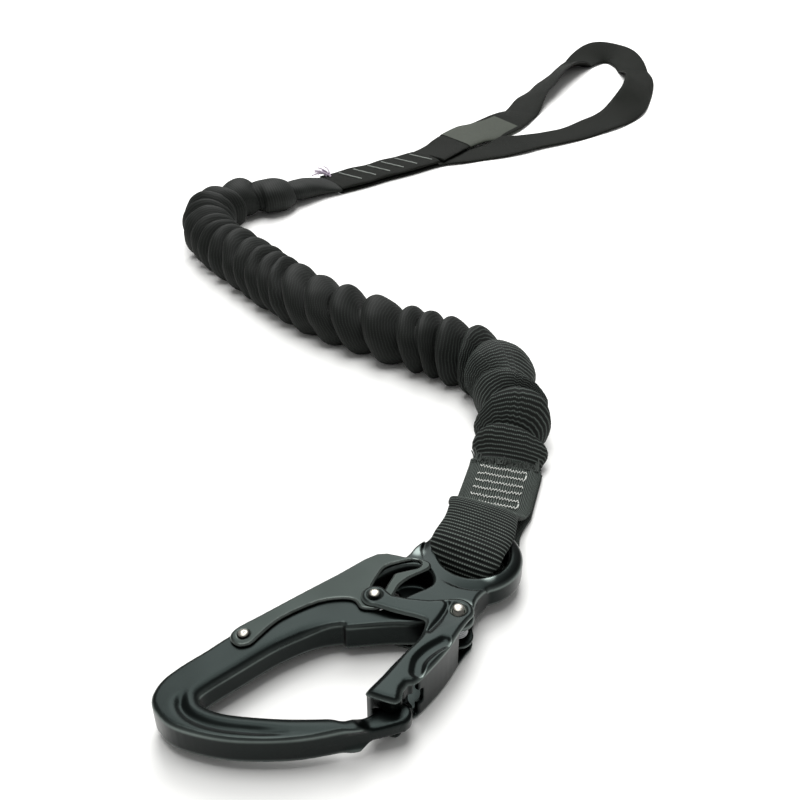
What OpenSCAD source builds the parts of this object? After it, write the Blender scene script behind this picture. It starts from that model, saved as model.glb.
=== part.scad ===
// Shock absorbing lanyard: a double-action snap hook, a gathered elastic lanyard of tubular webbing
// and a sewn end loop. The hook lies flat, nose at -X, eye at +X, squeeze lever at +Y.

/* [Webbing] */
// Flat width of the tubular webbing
strap_w = 28; // [26:0.5:30]
// Thickness of the flattened tube, which is two layers of cloth
strap_t = 2.4; // [2:0.1:2.6]
// Radius of the sheath where it is gathered over the elastic
sheath_r = 13; // [11:0.5:14]
// Wall of the gathered sheath
sheath_wall = 2; // [1.2:0.1:2]

/* [Hook body] */
// Thickness of the forged body
body_t = 10.8; // [10:0.1:12]
// Outer radius of the eye
eye_r = 17; // [16.5:0.1:17.5]
// Radius of the hole through the eye
eye_hole_r = 12; // [11.9:0.05:12.2]
// Thickness of the tongue at the tip of the nose
tongue_t = 5; // [4:0.1:5.4]

/* [Gate and lever] */
// Thickness of each cheek of the gate
cheek_t = 1.5; // [1.2:0.1:1.8]
// Thickness of each plate of the lever
lever_t = 1.2; // [1:0.1:1.4]
// Gap between one sliding plate and the next
plate_gap = 0.15; // [0.1:0.01:0.2]
// Thickness of the wall that joins the gate's cheeks
gate_wall = 1.8; // [1.4:0.1:2.2]
// Thickness of the lever's grip wall
grip_wall = 1.2; // [1:0.1:1.4]

/* [Rivets] */
// Radius of the gate's pivot rivet
gate_rivet_r = 2; // [1.8:0.05:2.2]
// Radius of the guide pin
guide_pin_r = 1.8; // [1.6:0.05:1.9]
// Radius of the lever's pivot rivet
lever_rivet_r = 1.5; // [1.3:0.05:1.6]
// Radial clearance of a running pin
run_fit = 0.06; // [0.03:0.01:0.08]

/* [Travel] */
// How far the gate swings inwards, in degrees
gate_open = 27; // [20:1:27]
// How far the lever is pressed, in degrees
lever_press = 1.8; // [1:0.1:1.8]

/* [Hidden] */
$fn = 64;
eps = 0.01;

// The drawing origin is the outermost point of the nose, on the ground. The part's own origin is
// the middle of the hook's box, on the ground.
hook_shift = [-65.75, 14.25, 0];

// Levels, from the ground up
cheek_z0 = 0;
lever_z0 = cheek_t + plate_gap;
body_z0 = lever_z0 + lever_t + plate_gap;
body_z1 = body_z0 + body_t;
lever_z1 = body_z1 + plate_gap;
cheek_z1 = lever_z1 + lever_t + plate_gap;
hook_top = cheek_z1 + cheek_t;
mid_z = hook_top / 2;

// Pivots
gate_pivot = [93.6, -21.7];
guide_rest = [74.6, -2.2];
lever_pivot = [32.7, 5.7];
eye_at = [114.5, -0.5];
lug_at = [59.5, -41];
lug_r = 4;

// The webbing leaves the eye this way, in degrees from +X
lead_angle = 42;

// Places along the webbing, from the eye's centre
loop_front = 1.5;
lap_start = 33;
lap_end = 64;

function rot2(p, a) = [p.x * cos(a) - p.y * sin(a), p.x * sin(a) + p.y * cos(a)];
function turned(p, about, a) = about + rot2(p - about, a);
function unit(v) = v / norm(v);
function left_of(v) = [-v.y, v.x];

// Catmull-Rom curve through a list of points, closed or open
function pick(p, i, closed) = closed ? p[(i + len(p)) % len(p)] : p[max(0, min(len(p) - 1, i))];
function curve_at(a, b, c, d, t) =
    0.5 * (2 * b + (c - a) * t + (2 * a - 5 * b + 4 * c - d) * t * t
           + (3 * b - a - 3 * c + d) * t * t * t);
function curve(p, steps, closed = false) =
    [for (i = [0 : len(p) - (closed ? 1 : 2)]) for (s = [0 : steps - 1])
        curve_at(pick(p, i - 1, closed), pick(p, i, closed), pick(p, i + 1, closed),
                 pick(p, i + 2, closed), s / steps),
     if (!closed) p[len(p) - 1]];

// Outline of a slot of constant width with round ends, along an open path
function path_dir(p, i) = unit(p[min(i + 1, len(p) - 1)] - p[max(i - 1, 0)]);
function end_arc(c, d, r) = [for (a = [80 : -20 : -80]) c + r * rot2(d, a)];
function slot_outline(p, r) = concat(
    [for (i = [0 : len(p) - 1]) p[i] + r * left_of(path_dir(p, i))],
    end_arc(p[len(p) - 1], path_dir(p, len(p) - 1), r),
    [for (i = [len(p) - 1 : -1 : 0]) p[i] - r * left_of(path_dir(p, i))],
    end_arc(p[0], -path_dir(p, 0), r));

// Where the guide pin stands when the gate is a part of the way open, and the same place as the
// lever sees it
function guide_at(part) = turned(guide_rest, gate_pivot, -gate_open * part);
function guide_in_lever(part) = turned(guide_at(part), lever_pivot, lever_press * part);

// Outer edge of the body, from the nose's lug round the nose and along the spine to the eye
nose_outside = [[58.8, -44.8], [54.8, -44.0], [43.9, -40.7], [30.7, -36.0], [18.8, -29.3], [10.4, -22.8],
                [2.8, -14.3], [0.2, -7.5], [0.6, -1.4], [5.1, 3.2], [12.1, 5.6], [20.6, 7.1],
                [27.5, 8.6], [34, 9.4], [42, 8.6], [55, 8.6], [70, 9.3], [84, 9.6], [94.3, 10.2],
                [99.5, 12.6], [106, 14.2]];
// Inner edge of the jaw, from the step on the spine round to the nose's tongue
jaw_inside = [[61.3, -5.4], [54.4, -3.2], [40.8, -2.6], [26.9, -4.4], [15.4, -6.2], [12.5, -8.2],
              [13.2, -11.8], [18.0, -17.5], [29.4, -26.2], [41.4, -33.6], [46.8, -36.2],
              [52, -37.2], [58, -37.3]];
// Throat behind the gate, and the neck below the eye
throat = [[89.4, -24.6], [87.6, -21.4], [84.6, -19.2], [79, -16.4], [73.4, -13.0], [61.3, -7.2]];
neck = [[118, -16.0], [112.9, -16.4], [108.2, -17.0], [103.2, -18.8], [98.2, -23.2]];

// Window that the guide pin crosses the body through
window = [[97.0, -1.0], [94.2, -5.6], [85.4, -5.6], [78, -6.2], [73, -6], [71.4, -2.4], [75, 2.6],
          [81, 6.2], [90, 6.6], [95.6, 3.4]];

// One cheek of the gate: the arm to the guide pin, the pivot's round end, and the tip on the nose
cheek_edge = [[70.4, -3.4], [76.0, -11.2], [82.1, -18.6], [81.2, -21.4], [77, -24.7], [72.2, -26.6],
              [66, -28.6], [60.2, -31.0], [53.1, -33.7], [53.4, -35.6], [57.4, -40.8], [59.0, -41.6],
              [60.6, -41.0], [62.4, -38.9], [64.6, -37.9], [67.2, -38.6], [74, -36.5], [81.7, -33.3],
              [89.6, -28.9], [94.8, -26.5]];
arm_top = [[95, -16.9], [91.8, -15.1], [88.1, -13.2], [83, -9.0], [79.4, -5.2], [78.8, -1.0]];
web_t = 1.5;
web_slot_gap = 0.4;
arm_end_r = 4.4;
cheek_end_r = 5;
// Inner face of the wall that joins the cheeks, which ends short of the pivot
wall_inside = [[88, -29.6], [81, -33.4], [74, -36.4], [67.2, -38.5]];
// The solid tip, and the slot in it that the nose's tongue enters from outside
tip_block = [[66.4, -28.5], [60.2, -31.0], [53.1, -33.7], [53.4, -35.6], [57.4, -40.8], [60.6, -41.0],
             [62.4, -38.9], [64.6, -37.9], [66.4, -38.4]];
tongue_slot = [[48, -36.0], [60, -36.3], [66.4, -35.6], [70, -36.0], [70, -48], [48, -48]];
tongue_gap = 0.35;

// One plate of the lever
lever_plate = [[28.4, 5.4], [29.4, 8.0], [32.5, 9.5], [40, 10.3], [55, 12.0], [70, 13.5], [85.8, 15.0],
               [93.0, 8.8], [97.6, 4.4], [98.5, 1.4], [96.5, -0.5], [89.7, -0.5], [84.5, -1.7],
               [80.8, -4.2], [77, -6.6], [73, -6.8], [70.2, -5.2], [68.5, -3.2], [68.6, 0.0],
               [66.6, 2.4], [61.5, 4.9], [55.7, 5.9], [45, 5.5], [36.8, 2.6], [33, 1.2], [29.6, 2.3]];
// The slot goes on past the pin's own travel
slot_run_out = [[90, 5.2], [93.8, 4.2]];
slot_r = guide_pin_r + 0.35;
// The grip wall runs behind the spine, along the plates' outer edge
grip_outside = [[40, 10.3], [55, 12.0], [70, 13.5], [84, 14.8]];

// Route of the gathered sheath: x, y, half width, half height
sheath_route = [[162.8, 43, 14, 3], [168, 48, 13.5, 6.5], [178, 60, 13, 12.5], [187, 76, 13, 13],
                [191, 94, 13, 13], [187, 110, 13, 13], [179, 127, 13, 13], [172, 141, 13, 13],
                [165, 157, 13, 13], [158, 174, 13, 13], [152, 193, 13, 13], [148, 216, 13, 13],
                [145, 247, 13, 13], [142, 274, 13, 13], [143, 298, 13, 13], [151, 319, 13, 13],
                [163, 334, 13, 12.5], [177, 341, 13, 12], [191, 342, 12.5, 11], [204, 340, 12, 10],
                [218, 343, 12, 8], [234, 350.2, 12.5, 5.5], [249.8, 352.6, 14, 3]];

// The far sewn stretch, and its direction
far_lap_at = [250.5, 353];
far_lap_angle = 6;
far_lap_length = 84;

// Route of the end loop: x, y, how far the webbing leans from flat in degrees, and its extra height
loop_route = [[334.8, 361.9, 0, 0], [344.5, 361.2, 0, 0], [357, 357.8, 0, 0], [371, 356, 0, 0],
              [387, 353, 0, 0], [403, 352, 8, 0], [421, 353.5, 2, 0], [440, 353, 0, 0],
              [460, 353.5, 0, 0], [483, 356.5, 2, 0], [505, 360.5, 4, 0], [530, 369, 16, 0],
              [556, 385, 28, 0], [582, 407, 28, 0], [606, 432, 18, 0], [625, 457, 4, 0],
              [639, 480, -10, 0], [643, 501, -24, 0], [631, 513, -30, 0], [610, 511, -10, 0],
              [585, 499, 18, 0], [555, 480, 32, 0], [522, 458, 28, 0], [488, 436, 18, 0],
              [457, 413, -2, 0], [429, 395, -12, 0], [403, 386, -12, 0], [385, 380.5, -10, 2.6],
              [368, 376, -6, 2.6], [351, 368.5, 0, 2.6], [334.8, 362.1, 0, 2.6]];
label_from = 25;
label_to = 28;

// --- sweeps --------------------------------------------------------------------------------------

// Rings of an upright ellipse along the sheath's route, shrunk by a wall, standing on the ground
function plan(p) = [p.x, p.y];
function route_dir(p, i) = unit(plan(p[min(i + 1, len(p) - 1)]) - plan(p[max(i - 1, 0)]));
function oval_ring(c, side, a, b, sides) =
    [for (k = [0 : sides - 1]) let (u = a * cos(360 * k / sides), v = b * sin(360 * k / sides))
        [c.x + u * side.x, c.y + u * side.y, c.z + v]];
function sheath_rings(wall, widest = 99, highest = 99) =
    [for (i = [0 : len(sheath_route) - 1])
        let (p = sheath_route[i], side = left_of(route_dir(sheath_route, i)),
             a = p[2] * sheath_r / 13, b = p[3] * sheath_r / 13)
        oval_ring([p.x, p.y, b], side, min(a - wall, widest), min(b - wall, highest), 12)];

// Rings of flat webbing along the end loop's route, touching the ground with its lower edge
function strap_section(a, b) =
    [[a, -b / 2], [a, b / 2], [a - b, b], [b - a, b], [-a, b / 2], [-a, -b / 2], [b - a, -b], [a - b, -b]];
function lean_lift(r) = abs(sin(r)) * strap_w / 2 + abs(cos(r)) * strap_t / 2;
function strap_ring(p, side, grow) =
    let (r = p[2], z = lean_lift(r) + 0.15 + p[3])
    [for (q = strap_section(strap_w / 2 + grow, strap_t / 2 + grow))
        let (across = q.x * cos(r) - q.y * sin(r), up = q.x * sin(r) + q.y * cos(r))
        [p.x + across * side.x, p.y + across * side.y, z + up]];
function strap_rings(first, last, grow) =
    [for (i = [first : last])
        strap_ring(loop_route[i], left_of(route_dir(loop_route, i)), grow)];

function skin_faces(n, k, start, flip) =
    [for (i = [0 : n - 2]) for (j = [0 : k - 1])
        let (a = start + i * k + j, b = start + i * k + (j + 1) % k,
             c = start + (i + 1) * k + j, d = start + (i + 1) * k + (j + 1) % k)
        each flip ? [[a, b, c], [b, d, c]] : [[a, c, b], [b, c, d]]];

module solid_sweep(rings) {
    n = len(rings);
    k = len(rings[0]);
    polyhedron([for (r = rings) each r],
               concat(skin_faces(n, k, 0, false),
                      [[for (j = [0 : k - 1]) j], [for (j = [k - 1 : -1 : 0]) (n - 1) * k + j]]),
               convexity = 8);
}

module hollow_sweep(outer, inner) {
    n = len(outer);
    k = len(outer[0]);
    last = (n - 1) * k;
    second = n * k;
    caps = [for (j = [0 : k - 1]) let (m = (j + 1) % k)
        each [[j, m, second + j], [m, second + m, second + j],
              [last + j, second + last + j, last + m],
              [last + m, second + last + j, second + last + m]]];
    polyhedron(concat([for (r = outer) each r], [for (r = inner) each r]),
               concat(skin_faces(n, k, 0, false), skin_faces(n, k, second, true), caps),
               convexity = 12);
}

// --- helpers -------------------------------------------------------------------------------------

module slab(z0, z1) translate([0, 0, z0]) linear_extrude(z1 - z0) children();
module bore(at, r) translate([at.x, at.y, -1]) cylinder(r = r, h = hook_top + 4);

// A domed rivet head standing on a level
module dome_head(at, z, r, h) {
    sphere_r = (r * r + h * h) / (2 * h);
    translate([at.x, at.y, z]) rotate_extrude() intersection() {
        translate([0, h - sphere_r]) circle(sphere_r);
        square([r + 1, h + 1]);
    }
}

// Along the webbing's first stretch: x runs away from the eye, y across the webbing
module along_lead() translate([eye_at.x, eye_at.y, 0]) rotate([0, 0, lead_angle]) children();
module along_far_lap() translate([far_lap_at.x, far_lap_at.y, 0]) rotate([0, 0, far_lap_angle]) children();

// A close-wound coil, as touching rings of wire
module coil(at, r, wire_r, turns) {
    pitch = 1.9 * wire_r;
    for (i = [0 : turns - 1])
        translate([at.x, at.y, mid_z + (i - (turns - 1) / 2) * pitch])
            rotate_extrude() translate([r, 0]) circle(wire_r, $fn = 16);
}

// --- hook ----------------------------------------------------------------------------------------

module body_blank() {
    slab(body_z0, body_z1)
        polygon(concat(curve(nose_outside, 4), [[110, 10], [118, -10]], curve(neck, 4),
                       curve(throat, 3), curve(jaw_inside, 4)));
    slab(body_z0, body_z1) translate(eye_at) circle(eye_r);
    slab(body_z0, body_z1) translate(gate_pivot) circle(5.2);
    slab(body_z0, body_z1) translate(lug_at) circle(lug_r);
}

module hook_body() color("#23282a") translate(hook_shift) difference() {
    body_blank();
    bore(eye_at, eye_hole_r);
    bore(gate_pivot, gate_rivet_r);
    bore(lever_pivot, lever_rivet_r);
    // the window stops at a thin web, which has its own slot for the guide pin
    slab(body_z0 + web_t, body_z1 + 1) polygon(curve(window, 3, true));
    slab(body_z0 - 1, body_z1 + 1)
        polygon(slot_outline(curve([for (t = [0 : 0.25 : 1]) guide_at(t)], 3), guide_pin_r + web_slot_gap));
    // the nose thins to a tongue that the gate's tip closes over
    slab(body_z0 - 1, mid_z - tongue_t / 2) translate([49.5, -60]) square([20, 25]);
    slab(mid_z + tongue_t / 2, body_z1 + 1) translate([49.5, -60]) square([20, 25]);
    // room for the gate spring between two lugs
    slab(mid_z - 3.2, mid_z + 3.2) translate(gate_pivot) circle(6.4);
}

module cheek_outline() {
    polygon(concat(curve(cheek_edge, 3), arm_top));
    translate(gate_pivot) circle(cheek_end_r);
    translate(guide_rest) circle(arm_end_r);
}

module gate() color("#2b3133") translate(hook_shift) difference() {
    union() {
        slab(cheek_z0, cheek_t) cheek_outline();
        slab(cheek_z1, hook_top) cheek_outline();
        slab(cheek_z0, hook_top) intersection() {
            cheek_outline();
            polygon(concat([for (p = wall_inside) p + [0.3, gate_wall]],
                           [for (i = [3 : -1 : 0]) wall_inside[i] - [-2, 3]]));
        }
        slab(cheek_z0, hook_top) polygon(tip_block);
    }
    slab(mid_z - tongue_t / 2 - tongue_gap, mid_z + tongue_t / 2 + tongue_gap) polygon(tongue_slot);
    bore(gate_pivot, gate_rivet_r + run_fit);
    bore(guide_rest, guide_pin_r);
    translate([gate_pivot.x, gate_pivot.y, -eps])
        cylinder(r1 = gate_rivet_r + 0.9, r2 = gate_rivet_r + run_fit, h = 0.8);
}

module gate_pivot_rivet() color("silver") translate(hook_shift) {
    translate([gate_pivot.x, gate_pivot.y, 0]) cylinder(r = gate_rivet_r, h = hook_top + 0.2);
    translate([gate_pivot.x, gate_pivot.y, 0]) cylinder(r1 = gate_rivet_r + 0.8, r2 = gate_rivet_r, h = 0.75);
    dome_head(gate_pivot, hook_top + 0.05, 2.25, 1);
}

module guide_pin() color("silver") translate(hook_shift) {
    translate([guide_rest.x, guide_rest.y, 0]) cylinder(r = guide_pin_r, h = hook_top + 0.2);
    dome_head(guide_rest, hook_top, 2.1, 0.9);
}

module gate_spring() color("#8a8f94") translate(hook_shift) {
    spring_r = gate_rivet_r + 0.9;
    coil(gate_pivot, spring_r, 0.45, 6);
    // one leg on the gate's wall, one in the body
    translate([gate_pivot.x, gate_pivot.y - spring_r, mid_z - 2.1])
        rotate([0, -90, 22]) cylinder(r = 0.45, h = 11, $fn = 16);
    translate([gate_pivot.x, gate_pivot.y + spring_r, mid_z + 2.1])
        rotate([0, -90, 0]) cylinder(r = 0.45, h = 3.4, $fn = 16);
}

module lever_outline() difference() {
    polygon(curve(lever_plate, 3, true));
    bore_r = lever_rivet_r + run_fit;
    translate(lever_pivot) circle(bore_r);
    polygon(slot_outline(curve(concat([for (t = [0 : 0.25 : 1]) guide_in_lever(t)], slot_run_out), 3),
                         slot_r));
}

module lever() color("#2f3638") translate(hook_shift) {
    slab(lever_z0, lever_z0 + lever_t) lever_outline();
    slab(lever_z1, lever_z1 + lever_t) lever_outline();
    slab(lever_z0, lever_z1 + lever_t) intersection() {
        lever_outline();
        polygon(concat([for (p = grip_outside) p + [0, 1]],
                       [for (i = [3 : -1 : 0]) grip_outside[i] - [0, grip_wall]]));
    }
}

module lever_pivot_rivet() color("silver") translate(hook_shift) {
    translate([lever_pivot.x, lever_pivot.y, 0.2])
        cylinder(r = lever_rivet_r, h = lever_z1 + lever_t);
    dome_head(lever_pivot, lever_z1 + lever_t + 0.05, 2, 1.2);
    translate([lever_pivot.x, lever_pivot.y, 0]) cylinder(r = 2.6, h = lever_z0 - 0.05);
}

// A bowed leaf between the spine and the grip
module lever_spring() color("#8a8f94") translate(hook_shift) {
    leaf = [for (t = [0 : 0.1 : 1]) [50 + 24 * t, 8.95 + 0.35 * t + 2.6 * pow(t, 2.2)]];
    slab(mid_z - 3, mid_z + 3)
        polygon(concat(leaf, [for (i = [len(leaf) - 1 : -1 : 0]) leaf[i] + [0, 0.5]]));
}

// --- webbing -------------------------------------------------------------------------------------

// Side view of the loop through the eye: x away from the hook, y up
module loop_side(inset) {
    top = 19.4 - inset;
    r = 9.7 - inset;
    slope = 1.15 * inset;
    far = lap_start - 1.4 * inset;
    low = max(inset, 5 - inset);
    translate([loop_front, 9.7]) circle(r);
    polygon([[loop_front, inset], [far, inset], [far, low], [31 - slope, low], [19 - slope / 2, top],
             [loop_front, top]]);
}

module eye_loop() color("#2b3130") translate(hook_shift) along_lead() intersection() {
    rotate([90, 0, 0]) linear_extrude(40, center = true) difference() {
        loop_side(0);
        loop_side(strap_t);
    }
    slab(-1, 25) polygon([[-9, -7.8], [6, -10], [20, -13], [lap_start, -strap_w / 2],
                          [lap_start, strap_w / 2], [20, 13], [6, 10], [-9, 7.8]]);
}

module eye_tail() color("#2b3130") translate(hook_shift) along_lead()
    translate([lap_start, 1 - strap_w / 2, strap_t + 0.2]) cube([29, strap_w - 2, strap_t]);

module eye_bar_tacks() color("#e4e4dc") translate(hook_shift) along_lead()
    for (i = [0 : 5])
        translate([lap_start + 3.4 + 4.3 * i, -10, 2 * strap_t + 0.2]) cube([1.2, 20, 0.5]);

module hook_end_lap() color("#3a423f") translate(hook_shift) along_lead()
    translate([lap_start, -strap_w / 2, 0.1]) cube([lap_end - lap_start, strap_w, strap_t]);

module shock_sheath() color("#2b3130") translate(hook_shift)
    hollow_sweep(sheath_rings(0), sheath_rings(sheath_wall));

module elastic_core() color("#17191a") translate(hook_shift)
    solid_sweep(sheath_rings(sheath_wall + 0.15, 8, 4));

module far_lap_lower() color("#2b3130") translate(hook_shift) along_far_lap()
    translate([0.3, -strap_w / 2, 0.1]) cube([far_lap_length, strap_w, strap_t]);

module far_lap_upper() color("#2b3130") translate(hook_shift) along_far_lap()
    translate([0.3, -strap_w / 2, strap_t + 0.2]) cube([far_lap_length, strap_w, strap_t]);

module far_bar_tacks() color("#8f958f") translate(hook_shift) along_far_lap()
    for (i = [0 : 4])
        translate([16 + 12 * i, -9, 2 * strap_t + 0.2]) rotate([0, 0, 18]) cube([1.2, 19, 0.4]);

module thread_tail() color("#cfc9d6") translate(hook_shift) along_far_lap()
    translate([5, 10, 2 * strap_t + 1]) rotate([0, 62, 70]) cylinder(r = 0.5, h = 11, $fn = 16);

module end_loop() color("#2a2f2a") translate(hook_shift) solid_sweep(strap_rings(0, len(loop_route) - 1, 0));

module id_label() color("#5d655c") translate(hook_shift)
    hollow_sweep(strap_rings(label_from, label_to, 0.13), strap_rings(label_from, label_to, 0.03));

hook_body();
gate();
gate_pivot_rivet();
guide_pin();
gate_spring();
lever();
lever_pivot_rivet();
lever_spring();
eye_loop();
eye_tail();
eye_bar_tacks();
hook_end_lap();
shock_sheath();
elastic_core();
far_lap_lower();
far_lap_upper();
far_bar_tacks();
thread_tail();
end_loop();
id_label();
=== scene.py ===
# %% [markdown]
# # A shock absorbing lanyard
#
# A snap hook of forged aluminium, a tube of nylon webbing gathered over elastic, and a sewn end
# loop. The imported CAD model is the frame. Every piece below is made in metres, in that same frame,
# and all but the sheath and its elastic ride on one of its bodies, so the hook, the gate and the
# lever still move as they should.

# %% Load the frame
import math
import random

import bmesh
import bpy
import numpy as np
from mathutils import Matrix, Vector, noise


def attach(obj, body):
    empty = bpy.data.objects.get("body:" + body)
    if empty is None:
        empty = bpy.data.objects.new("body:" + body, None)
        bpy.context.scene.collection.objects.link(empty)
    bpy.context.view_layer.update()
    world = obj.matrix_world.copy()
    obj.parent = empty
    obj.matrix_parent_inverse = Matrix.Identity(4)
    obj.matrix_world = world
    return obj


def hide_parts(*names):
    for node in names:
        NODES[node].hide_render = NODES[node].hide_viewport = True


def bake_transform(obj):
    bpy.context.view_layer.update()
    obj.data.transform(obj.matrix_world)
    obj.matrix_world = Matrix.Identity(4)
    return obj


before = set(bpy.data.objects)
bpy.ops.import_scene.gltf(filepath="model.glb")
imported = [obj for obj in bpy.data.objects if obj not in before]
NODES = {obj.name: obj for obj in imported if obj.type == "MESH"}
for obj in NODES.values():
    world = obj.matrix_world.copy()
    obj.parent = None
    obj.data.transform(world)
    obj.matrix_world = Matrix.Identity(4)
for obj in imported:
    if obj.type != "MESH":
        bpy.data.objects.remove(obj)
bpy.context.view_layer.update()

MM = 0.001


def linked(name, data):
    """An object at the origin, linked to the scene."""
    item = bpy.data.objects.new(name, data)
    bpy.context.scene.collection.objects.link(item)
    return item


# %% [markdown]
# ## Camera
#
# The camera stands low over the nose of the hook, turned a little to the right, and looks down the
# lanyard. It is close, so the hook comes out large and the end loop small. It is made first; the
# cords were measured against what it sees.

# %% Camera
LENS_MM, SENSOR_MM = 42.75, 36
LOOK_DOWN, TURNED = 33.55, 31.91
CAMERA_AT = (-0.09944, -0.17724, 0.23513)
camera_data = bpy.data.cameras.new("camera")
camera_data.lens = LENS_MM
camera_data.sensor_width = SENSOR_MM
camera_data.clip_start = 0.005
camera_data.clip_end = 60
camera = linked("camera", camera_data)
camera.location = CAMERA_AT
camera.rotation_euler = (math.radians(90 - LOOK_DOWN), 0, math.radians(-TURNED))
bpy.context.scene.camera = camera
print("camera height in mm:", round(camera.location.z / MM))

# %% [markdown]
# ## Routes
#
# The drawing's origin is the outermost point of the nose. `place` turns a point of the drawing,
# in millimetres, into a point of the frame. The webbing follows smooth curves through a few dozen
# points, the same ones that the CAD part uses, so cloth and CAD lie in the same place.

# %% Places and smooth lines
SHIFT = np.array([-65.75, 14.25, 0.0])


def place(points):
    """Points of the drawing in mm, as points of the frame in metres."""
    return (np.asarray(points, float) + SHIFT) * MM


def smooth_line(knots, steps):
    """A Catmull-Rom curve through rows of numbers."""
    k = np.asarray(knots, float)
    before, after = np.vstack([k[:1], k[:-2]]), np.vstack([k[2:], k[-1:]])
    a, b, c, d = before, k[:-1], k[1:], after
    t = (np.arange(steps) / steps)[:, None, None]
    rows = 0.5 * (2 * b + (c - a) * t + (2 * a - 5 * b + 4 * c - d) * t ** 2
                  + (3 * b - a - 3 * c + d) * t ** 3)
    return np.vstack([rows.transpose(1, 0, 2).reshape(-1, k.shape[1]), k[-1:]])


def run_of(points):
    """Distance along a line of points."""
    return np.concatenate([[0], np.cumsum(np.linalg.norm(np.diff(points, axis=0), axis=1))])


def sides_of(points):
    """Unit vectors to the left of a line, seen from above."""
    along = np.gradient(points[:, :2], axis=0)
    along /= np.linalg.norm(along, axis=1)[:, None]
    return np.column_stack([-along[:, 1], along[:, 0], np.zeros(len(along))])


def follow(s, run, middle, side):
    """Points and sideways unit vectors at distances s along a line."""
    centre, out = (np.column_stack([np.interp(s, run, rows[:, i]) for i in range(3)])
                   for rows in (middle, side))
    return centre, out / np.linalg.norm(out, axis=1)[:, None]


def smooth_step(low, high, x):
    """0 at low and 1 at high, level at both. It runs down when low is the larger."""
    t = np.clip((np.asarray(x, float) - low) / (high - low), 0, 1)
    return t * t * (3 - 2 * t)


# x, y, half width, half height
SHEATH_ROUTE = [
    [162.8, 43, 14, 3], [168, 48, 13.5, 6.5], [178, 60, 13, 12.5], [187, 76, 13, 13],
    [191, 94, 13, 13], [187, 110, 13, 13], [179, 127, 13, 13], [172, 141, 13, 13],
    [165, 157, 13, 13], [158, 174, 13, 13], [152, 193, 13, 13], [148, 216, 13, 13],
    [145, 247, 13, 13], [142, 274, 13, 13], [143, 298, 13, 13], [151, 319, 13, 13],
    [163, 334, 13, 12.5], [177, 341, 13, 12], [191, 342, 12.5, 11], [204, 340, 12, 10],
    [218, 343, 12, 8], [234, 350.2, 12.5, 5.5], [249.8, 352.6, 14, 3]]
# x, y, lean from flat in degrees, extra height
LOOP_ROUTE = [
    [334.8, 361.9, 0, 0], [344.5, 361.2, 0, 0], [357, 357.8, 0, 0], [371, 356, 0, 0],
    [387, 353, 0, 0], [403, 352, 8, 0], [421, 353.5, 2, 0], [440, 353, 0, 0], [460, 353.5, 0, 0],
    [483, 356.5, 2, 0], [505, 360.5, 4, 0], [530, 369, 16, 0], [556, 385, 28, 0],
    [582, 407, 28, 0], [606, 432, 18, 0], [625, 457, 4, 0], [639, 480, -10, 0],
    [643, 501, -24, 0], [631, 513, -30, 0], [610, 511, -10, 0], [585, 499, 18, 0],
    [555, 480, 32, 0], [522, 458, 28, 0], [488, 436, 18, 0], [457, 413, -2, 0],
    [429, 395, -12, 0], [403, 386, -12, 0], [385, 380.5, -10, 2.6], [368, 376, -6, 2.6],
    [351, 368.5, 0, 2.6], [334.8, 362.1, 0, 2.6]]
STRAP_W, STRAP_T = 28.0, 2.4

# %% [markdown]
# ## A wrapped grid
#
# Webbing is a flat grid of cloth wrapped into a tube. One function makes the grid, moves every
# point to its place, closes the seam and the two ends, and keeps the cloth's own coordinates, in
# metres, in a UV map. The weave is drawn on that map, so it follows every fold.

# %% Wrapped grid
WELD = 1e-7  # metres
SEAM = 1e-6  # share of a turn


def new_piece(bm, name):
    """A mesh object at the origin from a bmesh, with smooth shading."""
    mesh = bpy.data.meshes.new(name)
    bm.to_mesh(mesh)
    bm.free()
    mesh.shade_smooth()
    return linked(name, mesh)


def wrapped(name, rows, around, shape, ends=True):
    """A grid wrapped round a route.

    shape(u, w) gives points in mm, cloth coordinates in mm, and how much painted rib highlight each
    point shows.
    """
    bm = bmesh.new()
    bmesh.ops.create_grid(bm, x_segments=rows, y_segments=around, size=0.5)
    flat = np.array([v.co for v in bm.verts])
    u = np.round((flat[:, 0] + 0.5) * rows) / rows
    w = np.round((flat[:, 1] + 0.5) * around) / around
    points, cloth, rib_highlight_share = shape(u, w)
    points = place(points)
    weave = bm.loops.layers.uv.new("weave")
    ribs = bm.verts.layers.float.new("rib_highlight_share")
    bm.verts.ensure_lookup_table()
    for v, p, r in zip(bm.verts, points, rib_highlight_share):
        v.co = p
        v[ribs] = r
    for face in bm.faces:
        for loop in face.loops:
            loop[weave].uv = cloth[loop.vert.index] * MM
    seam = [v for v, k in zip(bm.verts, w) if k < SEAM or k > 1 - SEAM]
    bmesh.ops.remove_doubles(bm, verts=seam, dist=WELD)
    if ends:
        bmesh.ops.holes_fill(bm, edges=[e for e in bm.edges if e.is_boundary], sides=0)
    bmesh.ops.recalc_face_normals(bm, faces=bm.faces)
    return new_piece(bm, name)


def strap_section(w, half_width, half_thick):
    """Across and up for a flattened tube with round edges, as w goes once round it."""
    flatness = 7
    top = w < 0.5
    t = np.where(top, w * 2, (1 - w) * 2)
    across = np.cos(math.pi * t)
    up = np.sqrt(np.clip(1 - np.abs(across) ** flatness, 0, 1))
    return across * half_width, np.where(top, 1, -1) * up * half_thick
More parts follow.
